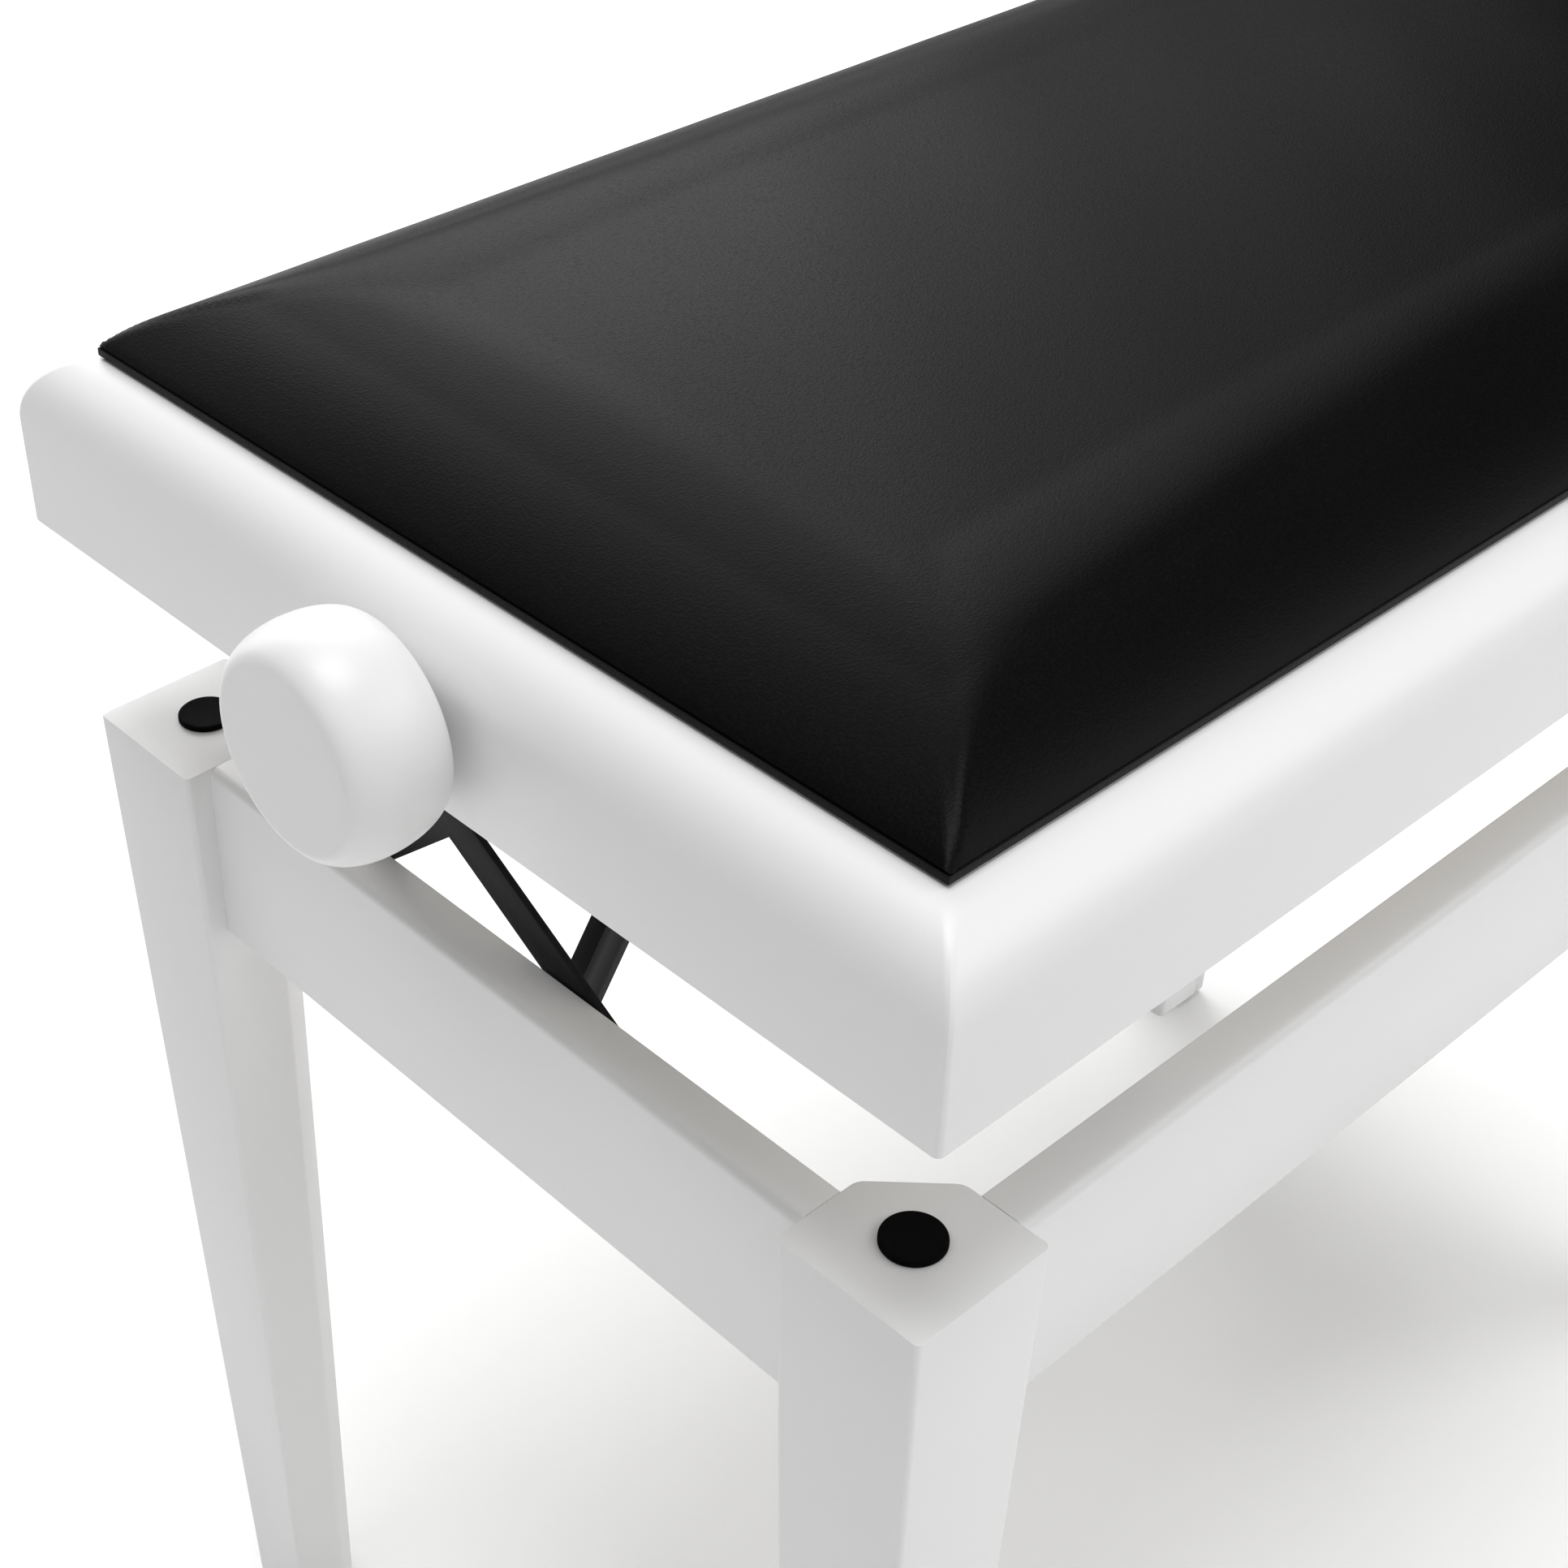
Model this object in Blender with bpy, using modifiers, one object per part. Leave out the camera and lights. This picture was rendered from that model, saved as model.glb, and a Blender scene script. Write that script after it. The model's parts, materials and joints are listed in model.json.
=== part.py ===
"""Height-adjustable piano bench: a white lacquered base of four tapered legs and four rails, and a
cushioned seat that two steel linkages raise and lower when the knobs at its ends are turned.

X runs along the long side, Y from the front (-) to the back (+), Z up from the floor. Metres.
The seat is modelled part-way up its travel.
"""
import math

import bmesh
import bpy
from mathutils import Matrix, Vector

# ---------------------------------------------------------------- driving dimensions
FIT = 0.0003                # clearance between pieces that touch

# Seat frame: four mitred boards
SEAT_LENGTH = 0.555
SEAT_WIDTH = 0.330
BOARD_HEIGHT = 0.0488
BOARD_THICK = 0.026
BOARD_ROUND = 0.018         # radius of the top outer edge
BOARD_EASE = 0.0012         # chamfer of the bottom edges
REBATE_WIDTH = 0.008        # ledge that carries the plywood panel
PANEL_THICK = 0.009

# Cushion
CUSHION_INSET = 0.017       # from the outer faces of the boards
CUSHION_LIP = 0.0035        # upright edge of the cushion
CUSHION_HEIGHT = 0.028
CUSHION_SHOULDER = 0.060    # from the cushion's edge to where its top is level
CUSHION_STEPS = 6

# Base: legs and rails
LEG_TOP_Z = 0.400
LEG_SIDE = 0.0433           # side of the square at the top
LEG_INSET = 0.0065          # outer faces of the legs from those of the seat
LEG_CHAMFER = 0.0173        # cut across the inner corner
LEG_OUTER_TAPER = 0.006     # how far an outer face comes in over the whole leg
LEG_INNER_TAPER = 0.0085
LEG_ROUND = 0.0018
RAIL_RECESS = 0.0075        # rails behind the outer faces of the legs
RAIL_THICK = 0.0135
RAIL_HEIGHT = 0.0585
RAIL_ROUND = 0.003

BUMPER_RADIUS = 0.008
BUMPER_THICK = 0.0015
GLIDE_RADIUS = 0.009
GLIDE_THICK = 0.0025

# Travel: the gap between the leg tops and the seat boards as modelled
SEAT_RAISED = 0.0638

# Lift linkages: one at each end, mirrored
ARM_LENGTH = 0.147          # lift arm, between its end pivots; the brace arms are half as long
ARM_DEPTH = 0.012
LIFT_ARM_THICK = 0.006      # single arm on the middle line
BRACE_ARM_THICK = 0.004     # two arms, one each side of it
ARM_GAP = 0.001             # washers between neighbouring arms
PIN_RADIUS = 0.0025
PIN_HEAD = 0.0015           # how far a pin stands out past the piece that holds it
PIVOT_FROM_END = 0.038      # fixed pivots from the seat's end faces
ARM_LEAN = 55.95227         # lift arms above the level, in degrees, at the height as modelled
NUT_TO_SPINDLE = 0.0106     # the nut's pivot below the spindle's axis

SPINDLE_RADIUS = 0.004
NUT_SIZE = 0.014            # square block, along X and Y
BUSH_RADIUS = 0.0065
FLANGE_RADIUS = 0.011
FLANGE_THICK = 0.0015

PLATE = 0.002               # sheet steel of the brackets
BRACKET_HEIGHT = 0.020
BRACKET_PLATE_REACH = 0.006  # past the pivot's axis

STRAP_WIDTH = 0.012
STRAP_APEX_Y = 0.0256
STRAP_APEX_RISE = 0.0281    # apex above the leg tops
STRAP_FOOT_DROP = 0.0150    # feet below the leg tops
STRAP_BACK_Y = 0.0750
STRAP_FRONT_Y = -0.0450

POST_FROM_END = 0.1185      # guide posts, from the seat's end face to their middle
POST_THICK = 0.0138
POST_DEPTH = 0.036
POST_DROP = 0.0494          # below the boards
POST_ROUND = 0.002
POST_CLEARANCE = 0.0005     # running clearance to the long rails

# Knobs, turned
KNOB_STANDOFF = 0.006       # from the board to the knob's back
KNOB_LENGTH = 0.028
KNOB_RADIUS = 0.0292
KNOB_BELLY = 0.014          # from the back to the widest place
KNOB_BACK_RADIUS = 0.0241
KNOB_FACE_RADIUS = 0.0225
KNOB_BORE = 0.016

SEGMENTS = 32               # round pieces
ARC_STEPS = 8               # quarter rounds

# ---------------------------------------------------------------- worked out from them
HALF_L = SEAT_LENGTH / 2
HALF_W = SEAT_WIDTH / 2
SEAT_Z = LEG_TOP_Z + SEAT_RAISED
BOARD_TOP = SEAT_Z + BOARD_HEIGHT
PANEL_BOTTOM = BOARD_TOP - PANEL_THICK
LEG_BOTTOM_Z = GLIDE_THICK + FIT
LEG_HEIGHT = LEG_TOP_Z - LEG_BOTTOM_Z
RAIL_INNER = LEG_INSET + RAIL_RECESS + RAIL_THICK
RAIL_BOTTOM_Z = LEG_TOP_Z - RAIL_HEIGHT
SPINDLE_Z = SEAT_Z + BOARD_HEIGHT / 2
UPPER_PIVOT_Z = SPINDLE_Z - NUT_TO_SPINDLE
LOWER_PIVOT_Z = UPPER_PIVOT_Z - ARM_LENGTH * math.sin(math.radians(ARM_LEAN))
PIVOT_X = HALF_L - PIVOT_FROM_END
ARM_RUN = ARM_LENGTH * math.cos(math.radians(ARM_LEAN))
BRACE_INNER_Y = LIFT_ARM_THICK / 2 + ARM_GAP
BRACE_OUTER_Y = BRACE_INNER_Y + BRACE_ARM_THICK
CHEEK_INNER_Y = BRACE_OUTER_Y + ARM_GAP
SIDES = (("left", -1), ("right", 1))
FACES = (("front", -1), ("back", 1))

# ---------------------------------------------------------------- scene and materials
for old in list(bpy.data.objects):
    bpy.data.objects.remove(old, do_unlink=True)

PARTS = bpy.data.collections.new("piano_bench")
CUTTERS = bpy.data.collections.new("cutters")
for collection in (PARTS, CUTTERS):
    bpy.context.scene.collection.children.link(collection)


def material(name, colour, roughness, metallic=0.0):
    made = bpy.data.materials.new(name)
    made.use_nodes = True
    shader = made.node_tree.nodes["Principled BSDF"]
    shader.inputs["Base Color"].default_value = (*colour, 1)
    shader.inputs["Roughness"].default_value = roughness
    shader.inputs["Metallic"].default_value = metallic
    return made


LACQUER = material("white_lacquer", (0.80, 0.80, 0.80), 0.35)
LEATHERETTE = material("black_leatherette", (0.015, 0.015, 0.016), 0.45)
PLYWOOD = material("plywood", (0.55, 0.40, 0.24), 0.70)
BLACK_STEEL = material("black_steel", (0.03, 0.03, 0.03), 0.40, 0.6)
ZINC_STEEL = material("zinc_steel", (0.55, 0.56, 0.58), 0.35, 1.0)
RUBBER = material("black_rubber", (0.02, 0.02, 0.02), 0.60)
PLASTIC = material("grey_plastic", (0.30, 0.30, 0.30), 0.50)


# ---------------------------------------------------------------- modelling helpers
def add_object(name, mesh, look, location=(0, 0, 0)):
    """Link a finished mesh as one named part."""
    made = bpy.data.objects.new(name, mesh)
    mesh.materials.append(look)
    made.location = location
    PARTS.objects.link(made)
    return made


def mesh_from(bm, name):
    bm.normal_update()
    bmesh.ops.recalc_face_normals(bm, faces=bm.faces)
    mesh = bpy.data.meshes.new(name)
    bm.to_mesh(mesh)
    bm.free()
    return mesh


def box_mesh(name, size):
    """A box centred on the origin."""
    bm = bmesh.new()
    bmesh.ops.create_cube(bm, size=1.0, matrix=Matrix.Diagonal((*size, 1)))
    return mesh_from(bm, name)


def box(name, look, low, high):
    """A box between two corners."""
    size = [b - a for a, b in zip(low, high)]
    middle = [(a + b) / 2 for a, b in zip(low, high)]
    return add_object(name, box_mesh(name, size), look, middle)


def cylinder(name, look, centre, radius, length, axis, segments=SEGMENTS):
    """A cylinder about X, Y or Z through its centre."""
    turn = {"X": Matrix.Rotation(math.pi / 2, 4, "Y"),
            "Y": Matrix.Rotation(math.pi / 2, 4, "X"),
            "Z": Matrix.Identity(4)}[axis]
    bm = bmesh.new()
    bmesh.ops.create_cone(bm, cap_ends=True, segments=segments, radius1=radius, radius2=radius,
                          depth=length, matrix=turn)
    made = add_object(name, mesh_from(bm, name), look, centre)
    made.data.shade_smooth()
    made.data.set_sharp_from_angle(angle=math.radians(30))
    return made


def cut(piece, cutter):
    """Take one cutter away from a piece."""
    for linked in list(cutter.users_collection):
        linked.objects.unlink(cutter)
    CUTTERS.objects.link(cutter)
    cutter.hide_render = True
    cutter.display_type = "WIRE"
    step = piece.modifiers.new("cut", "BOOLEAN")
    step.operation = "DIFFERENCE"
    step.solver = "EXACT"
    step.object = cutter


def round_edges(piece, width, segments=2, weighted=False):
    step = piece.modifiers.new("round", "BEVEL")
    step.width = width
    step.segments = segments
    step.limit_method = "WEIGHT" if weighted else "ANGLE"
    return step


def weight_edges(mesh, chosen):
    """Mark the edges that a weighted bevel rounds; chosen takes the two end points."""
    weights = mesh.attributes.new("bevel_weight_edge", "FLOAT", "EDGE")
    for edge in mesh.edges:
        first, second = (mesh.vertices[i].co for i in edge.vertices)
        weights.data[edge.index].value = 1.0 if chosen(first, second) else 0.0


def extruded_outline(name, points, thickness, turn):
    """A flat outline pushed out by half its thickness each way and then turned into place."""
    bm = bmesh.new()
    flat = bm.faces.new([bm.verts.new((a, b, -thickness / 2)) for a, b in points])
    pushed = bmesh.ops.extrude_face_region(bm, geom=[flat])
    moved = [v for v in pushed["geom"] if isinstance(v, bmesh.types.BMVert)]
    bmesh.ops.translate(bm, verts=moved, vec=(0, 0, thickness))
    bmesh.ops.transform(bm, matrix=turn, verts=bm.verts)
    return mesh_from(bm, name)


def turned(name, look, profile, centre, turn):
    """A profile of (radius, height) points turned about Z, then swung into place."""
    mesh = bpy.data.meshes.new(name)
    mesh.from_pydata([(r, 0, h) for r, h in profile], [(i, i + 1) for i in range(len(profile) - 1)], [])
    made = add_object(name, mesh, look, centre)
    made.rotation_euler = turn
    screw = made.modifiers.new("turn", "SCREW")
    screw.steps = screw.render_steps = SEGMENTS
    screw.use_merge_vertices = True
    screw.merge_threshold = 0.00001
    screw.use_smooth_shade = True
    return made


# ---------------------------------------------------------------- base
def leg_inset(z, taper):
    """How far a leg's face has come in at height z."""
    return taper * (LEG_TOP_Z - z) / LEG_HEIGHT


def leg(name, side_x, side_y):
    """A square leg that tapers on all four sides, cut across its inner corner."""
    outer_x = HALF_L - LEG_INSET
    outer_y = HALF_W - LEG_INSET

    def section(z):
        out = leg_inset(z, LEG_OUTER_TAPER)
        inward = LEG_SIDE - leg_inset(z, LEG_INNER_TAPER)
        corner = inward - LEG_CHAMFER * (inward - out) / LEG_SIDE
        steps = ((out, out), (inward, out), (inward, corner), (corner, inward), (out, inward))
        return [(side_x * (outer_x - a), side_y * (outer_y - b), z) for a, b in steps]

    bm = bmesh.new()
    ends = [bm.faces.new([bm.verts.new(p) for p in section(z)]) for z in (LEG_TOP_Z, LEG_BOTTOM_Z)]
    bmesh.ops.bridge_loops(bm, edges=[edge for end in ends for edge in end.edges])
    mesh = mesh_from(bm, name)
    weight_edges(mesh, lambda a, b: abs(a.z - b.z) > LEG_HEIGHT / 2)
    made = add_object(name, mesh, LACQUER)
    round_edges(made, LEG_ROUND, 2, weighted=True)
    return made


def rail(name, along, side):
    """A rail whose ends follow the taper of the legs; its top outer edge is rounded."""
    along_x = along == "X"
    span = (HALF_L if along_x else HALF_W) - LEG_INSET - LEG_SIDE
    outer = side * ((HALF_W if along_x else HALF_L) - LEG_INSET - RAIL_RECESS)
    inner = outer - side * RAIL_THICK
    bm = bmesh.new()
    bmesh.ops.create_cube(bm, size=1.0)
    for vert in bm.verts:
        z = LEG_TOP_Z if vert.co.z > 0 else RAIL_BOTTOM_Z
        reach = span + leg_inset(z, LEG_INNER_TAPER) - FIT
        end = math.copysign(reach, vert.co.x)
        across = outer if vert.co.y > 0 else inner
        vert.co = (end, across, z) if along_x else (across, end, z)
    mesh = mesh_from(bm, name)

    def top_outer(a, b):
        axis = 1 if along_x else 0
        at_top = min(a.z, b.z) > LEG_TOP_Z - FIT
        return at_top and all(abs(p[axis] - outer) < FIT for p in (a, b))

    weight_edges(mesh, top_outer)
    made = add_object(name, mesh, LACQUER)
    round_edges(made, RAIL_ROUND, 3, weighted=True)
    return made


def base_frame():
    middle = LEG_INSET + LEG_SIDE / 2
    for end, sx in SIDES:
        for face, sy in FACES:
            place = f"{face}_{end}"
            leg(f"leg_{place}", sx, sy)
            over = (sx * (HALF_L - middle), sy * (HALF_W - middle))
            cylinder(f"bumper_{place}", RUBBER, (*over, LEG_TOP_Z + FIT + BUMPER_THICK / 2),
                     BUMPER_RADIUS, BUMPER_THICK, "Z")
            drift = (LEG_INNER_TAPER - LEG_OUTER_TAPER) / 2
            under = (over[0] + sx * drift, over[1] + sy * drift, GLIDE_THICK / 2)
            cylinder(f"glide_{place}", PLASTIC, under, GLIDE_RADIUS, GLIDE_THICK, "Z")
    for face, sy in FACES:
        rail(f"rail_{face}", "X", sy)
    for end, sx in SIDES:
        rail(f"rail_{end}", "Y", sx)


def lower_brackets():
    """A clevis on the inside of each short rail carries the foot of a lift arm."""
    cheek_y = LIFT_ARM_THICK / 2 + ARM_GAP / 2
    back = HALF_L - RAIL_INNER - FIT
    for end, sx in SIDES:
        low = LOWER_PIVOT_Z - BRACKET_HEIGHT / 2
        xs = sorted((sx * back, sx * (PIVOT_X - BRACKET_PLATE_REACH)))
        made = box(f"lower_bracket_{end}", BLACK_STEEL, (xs[0], -cheek_y - PLATE, low),
                   (xs[1], cheek_y + PLATE, low + BRACKET_HEIGHT))
        xs = sorted((sx * (back - PLATE), sx * (PIVOT_X - 2 * BRACKET_PLATE_REACH)))
        cut(made, box(f"cut_lower_bracket_{end}", BLACK_STEEL, (xs[0], -cheek_y, low - PLATE),
                      (xs[1], cheek_y, low + BRACKET_HEIGHT + PLATE)))
        hole = cylinder(f"cut_lower_hole_{end}", BLACK_STEEL, (sx * PIVOT_X, 0, LOWER_PIVOT_Z),
                        PIN_RADIUS + FIT, 4 * cheek_y + 4 * PLATE, "Y")
        cut(made, hole)
        cylinder(f"lower_pin_{end}", ZINC_STEEL, (sx * PIVOT_X, 0, LOWER_PIVOT_Z), PIN_RADIUS,
                 2 * (cheek_y + PLATE + PIN_HEAD), "Y")


def crossing(point_a, along_a, point_b, along_b):
    """Where two lines in a plane cross."""
    gap = point_b - point_a
    return point_a + along_a * (gap.cross(along_b) / along_a.cross(along_b))


def guide_straps():
    """A bent flat strap stands up behind each end board and stops the seat from shifting endways."""
    apex = Vector((STRAP_APEX_Y, LEG_TOP_Z + STRAP_APEX_RISE))
    back = Vector((STRAP_BACK_Y, LEG_TOP_Z - STRAP_FOOT_DROP))
    front = Vector((STRAP_FRONT_Y, LEG_TOP_Z - STRAP_FOOT_DROP))
    up_back = (apex - back).normalized()
    up_front = (apex - front).normalized()
    out_back = Vector((up_back.y, -up_back.x)) * STRAP_WIDTH / 2
    out_front = Vector((-up_front.y, up_front.x)) * STRAP_WIDTH / 2
    outline = [back + out_back, crossing(back + out_back, up_back, front + out_front, up_front),
               front + out_front, front - out_front,
               crossing(back - out_back, up_back, front - out_front, up_front), back - out_back]
    for end, sx in SIDES:
        middle = sx * (HALF_L - RAIL_INNER - FIT - PLATE / 2)
        turn = Matrix(((0, 0, 1, middle), (1, 0, 0, 0), (0, 1, 0, 0), (0, 0, 0, 1)))
        mesh = extruded_outline(f"guide_strap_{end}", outline, PLATE, turn)
        add_object(f"guide_strap_{end}", mesh, BLACK_STEEL)


# ---------------------------------------------------------------- lift linkages
def arm(name, start, finish, y, thickness, pivots):
    """A flat bar with round ends between two pivots in an upright plane, drilled at shares of its
    length. Its origin is on the pivot at its start."""
    ax, az = start
    run = finish[0] - ax
    rise = finish[1] - az
    length = math.hypot(run, rise)
    radius = ARM_DEPTH / 2
    outline = []
    for centre, first in ((0.0, math.pi / 2), (length, -math.pi / 2)):
        for step in range(SEGMENTS // 2 + 1):
            turn = first + math.pi * step / (SEGMENTS // 2)
            outline.append((centre + radius * math.cos(turn), radius * math.sin(turn)))
    upright = Matrix.Rotation(math.pi / 2, 4, "X")
    mesh = extruded_outline(name, outline, thickness, upright)
    made = add_object(name, mesh, BLACK_STEEL, (ax, y, az))
    made.rotation_euler = (0, -math.atan2(rise, run), 0)
    for index, share in enumerate(pivots):
        place = (ax + share * run, y, az + share * rise)
        cut(made, cylinder(f"cut_{name}_{index}", BLACK_STEEL, place, PIN_RADIUS + FIT,
                           3 * thickness, "Y"))


def linkage(end, sx):
    """A lift arm from the base to the nut, and a pair of half-length brace arms from its middle to
    the seat. They hold the seat's pivot straight above the base's, so the seat rises upright."""
    fixed_x = sx * PIVOT_X
    moving_x = sx * (PIVOT_X - ARM_RUN)
    centre = ((fixed_x + moving_x) / 2, (UPPER_PIVOT_Z + LOWER_PIVOT_Z) / 2)
    arm(f"lift_arm_{end}", (fixed_x, LOWER_PIVOT_Z), (moving_x, UPPER_PIVOT_Z), 0, LIFT_ARM_THICK,
        (0, 0.5, 1))
    cylinder(f"centre_pin_{end}", ZINC_STEEL, (centre[0], 0, centre[1]), PIN_RADIUS,
             2 * (BRACE_OUTER_Y + PIN_HEAD), "Y")
    middle = (BRACE_INNER_Y + BRACE_OUTER_Y) / 2
    for face, sy in FACES:
        arm(f"brace_arm_{end}_{face}", (fixed_x, UPPER_PIVOT_Z), centre, sy * middle,
            BRACE_ARM_THICK, (0, 1))


def nut(end, sx):
    """A block threaded on the spindle, forked below for the top of the lift arm."""
    x = sx * (PIVOT_X - ARM_RUN)
    half = NUT_SIZE / 2
    top = SPINDLE_Z + half
    bottom = UPPER_PIVOT_Z - half
    made = box(f"nut_{end}", BLACK_STEEL, (x - half, -half, bottom), (x + half, half, top))
    fork = LIFT_ARM_THICK / 2 + ARM_GAP / 2
    roof = UPPER_PIVOT_Z + ARM_DEPTH / 2 + FIT
    cut(made, box(f"cut_fork_{end}", BLACK_STEEL, (x - NUT_SIZE, -fork, bottom - half),
                  (x + NUT_SIZE, fork, roof)))
    cut(made, cylinder(f"cut_thread_{end}", BLACK_STEEL, (x, 0, SPINDLE_Z), SPINDLE_RADIUS + FIT,
                       2 * NUT_SIZE, "X"))
    cut(made, cylinder(f"cut_nut_hole_{end}", BLACK_STEEL, (x, 0, UPPER_PIVOT_Z), PIN_RADIUS + FIT,
                       2 * NUT_SIZE, "Y"))
    cylinder(f"nut_pin_{end}", ZINC_STEEL, (x, 0, UPPER_PIVOT_Z), PIN_RADIUS,
             NUT_SIZE + PIN_HEAD, "Y")


# ---------------------------------------------------------------- seat
def board(name, half_length, turn):
    """A mitred board: flat outside, quarter-round on top, rebated for the panel. The outer face is
    at y = 0 and the board is then turned and moved into place."""
    section = [(BOARD_EASE, 0), (0, BOARD_EASE)]
    for step in range(ARC_STEPS + 1):
        angle = math.pi / 2 * step / ARC_STEPS
        section.append((BOARD_ROUND * (1 - math.cos(angle)),
                        BOARD_HEIGHT - BOARD_ROUND * (1 - math.sin(angle))))
    ledge = BOARD_THICK - REBATE_WIDTH
    floor = BOARD_HEIGHT - PANEL_THICK - FIT
    if ledge > BOARD_ROUND + FIT:
        section.append((ledge, BOARD_HEIGHT))
    section += [(ledge, floor), (BOARD_THICK, floor), (BOARD_THICK, BOARD_EASE),
                (BOARD_THICK - BOARD_EASE, 0)]
    bm = bmesh.new()
    start = bm.faces.new([bm.verts.new((-(half_length - d - FIT / 2), d, h)) for d, h in section])
    pushed = bmesh.ops.extrude_face_region(bm, geom=[start])
    for vert in [v for v in pushed["geom"] if isinstance(v, bmesh.types.BMVert)]:
        vert.co.x = -vert.co.x
    bmesh.ops.transform(bm, matrix=turn, verts=bm.verts)
    return add_object(name, mesh_from(bm, name), LACQUER)


def seat_frame():
    for face, sy in FACES:
        place = Matrix.Translation((0, sy * HALF_W, SEAT_Z)) @ Matrix.Rotation(
            0 if sy < 0 else math.pi, 4, "Z")
        board(f"seat_board_{face}", HALF_L, place)
    for end, sx in SIDES:
        place = Matrix.Translation((sx * HALF_L, 0, SEAT_Z)) @ Matrix.Rotation(sx * math.pi / 2, 4, "Z")
        made = board(f"seat_board_{end}", HALF_W, place)
        cut(made, cylinder(f"cut_bush_{end}", LACQUER, (sx * HALF_L, 0, SPINDLE_Z), BUSH_RADIUS + FIT,
                           3 * BOARD_THICK, "X"))
    reach = BOARD_THICK - REBATE_WIDTH + FIT
    box("seat_panel", PLYWOOD, (-HALF_L + reach, -HALF_W + reach, PANEL_BOTTOM),
        (HALF_L - reach, HALF_W - reach, BOARD_TOP))


def cushion():
    """A foam pad in leatherette: an upright lip and a crowned top."""
    half_x = HALF_L - CUSHION_INSET
    half_y = HALF_W - CUSHION_INSET
    bm = bmesh.new()
    bmesh.ops.create_cube(bm, size=1.0, matrix=Matrix.Diagonal(
        (2 * half_x, 2 * half_y, CUSHION_LIP, 1)))
    crown = CUSHION_HEIGHT - CUSHION_LIP
    for step in range(CUSHION_STEPS):
        bm.faces.ensure_lookup_table()
        top = max(bm.faces, key=lambda f: f.calc_center_median().z)
        start = math.pi / 2 * step / CUSHION_STEPS
        finish = math.pi / 2 * (step + 1) / CUSHION_STEPS
        inward = CUSHION_SHOULDER * (math.cos(start) - math.cos(finish))
        rise = crown * (math.sin(finish) - math.sin(start))
        bmesh.ops.inset_region(bm, faces=[top], thickness=inward, depth=0, use_even_offset=True)
        bmesh.ops.translate(bm, verts=top.verts, vec=(0, 0, rise))
    add_object("cushion", mesh_from(bm, "cushion"), LEATHERETTE,
               (0, 0, BOARD_TOP + FIT + CUSHION_LIP / 2))


def guide_posts():
    """Four posts under the panel run just inside the long rails and keep the seat square."""
    outer = min(HALF_W - RAIL_INNER - POST_CLEARANCE, HALF_W - BOARD_THICK - FIT)
    middle_x = HALF_L - POST_FROM_END
    for end, sx in SIDES:
        for face, sy in FACES:
            ys = sorted((sy * outer, sy * (outer - POST_DEPTH)))
            x = sx * middle_x
            made = box(f"guide_post_{face}_{end}", LACQUER, (x - POST_THICK / 2, ys[0], SEAT_Z - POST_DROP),
                       (x + POST_THICK / 2, ys[1], PANEL_BOTTOM - FIT))
            weight_edges(made.data, lambda a, b: min(a.z, b.z) < 0)
            round_edges(made, POST_ROUND, 2, weighted=True)


def upper_brackets():
    """A channel hung from the panel holds the tops of the brace arms; the spindle runs through it."""
    outer = CHEEK_INNER_Y + PLATE
    bottom = UPPER_PIVOT_Z - ARM_DEPTH / 2
    top = PANEL_BOTTOM - FIT
    for end, sx in SIDES:
        x = sx * PIVOT_X
        low = (x - BRACKET_PLATE_REACH, -outer, bottom)
        high = (x + BRACKET_PLATE_REACH, outer, top)
        made = box(f"upper_bracket_{end}", BLACK_STEEL, low, high)
        cut(made, box(f"cut_upper_bracket_{end}", BLACK_STEEL,
                      (x - 2 * BRACKET_PLATE_REACH, -CHEEK_INNER_Y, bottom - PLATE),
                      (x + 2 * BRACKET_PLATE_REACH, CHEEK_INNER_Y, top - PLATE)))
        cut(made, cylinder(f"cut_upper_hole_{end}", BLACK_STEEL, (x, 0, UPPER_PIVOT_Z),
                           PIN_RADIUS + FIT, 4 * outer, "Y"))
        cylinder(f"upper_pin_{end}", ZINC_STEEL, (x, 0, UPPER_PIVOT_Z), PIN_RADIUS,
                 2 * (outer + PIN_HEAD), "Y")


# ---------------------------------------------------------------- spindle and knobs
def knob_profile():
    """Radius and height from the outer face down to the back, then up the bore."""
    profile = [(0, KNOB_LENGTH)]
    for step in range(ARC_STEPS + 1):
        angle = math.pi / 2 * (1 - step / ARC_STEPS)
        profile.append((KNOB_FACE_RADIUS + (KNOB_RADIUS - KNOB_FACE_RADIUS) * math.cos(angle),
                        KNOB_BELLY + (KNOB_LENGTH - KNOB_BELLY) * math.sin(angle)))
    for step in range(1, ARC_STEPS + 1):
        angle = math.pi / 2 * step / ARC_STEPS
        profile.append((KNOB_BACK_RADIUS + (KNOB_RADIUS - KNOB_BACK_RADIUS) * math.cos(angle),
                        KNOB_BELLY * (1 - math.sin(angle))))
    bore = SPINDLE_RADIUS + FIT
    return profile + [(bore, 0), (bore, KNOB_BORE), (0, KNOB_BORE)]


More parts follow.
